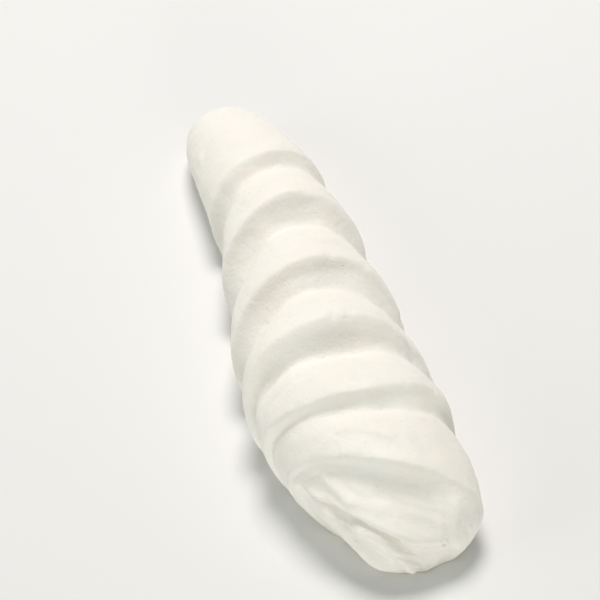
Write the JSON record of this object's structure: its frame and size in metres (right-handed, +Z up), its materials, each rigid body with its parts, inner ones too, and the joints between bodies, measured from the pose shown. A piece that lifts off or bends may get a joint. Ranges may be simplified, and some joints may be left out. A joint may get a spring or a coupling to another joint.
{
  "type": "meringue cookie",
  "caption": "Piped meringue finger with a flat baked base, a fat rounded end and deep slanting coil ridges that taper to a slim end.",
  "frame": {"origin": "centre of the meringue's box at the level of its flat baked base", "axes": "+Z up from the base; Y runs along the finger, with the fat end at -Y and the slim end at +Y"},
  "size_m": [0.0324, 0.121, 0.0228],
  "materials": {
    "meringue": "matte, dry, creamy white baked sugar foam with a very fine grain"
  },
  "bodies": {
    "root": {"meringue": "meringue"}
  },
  "joints": []
}
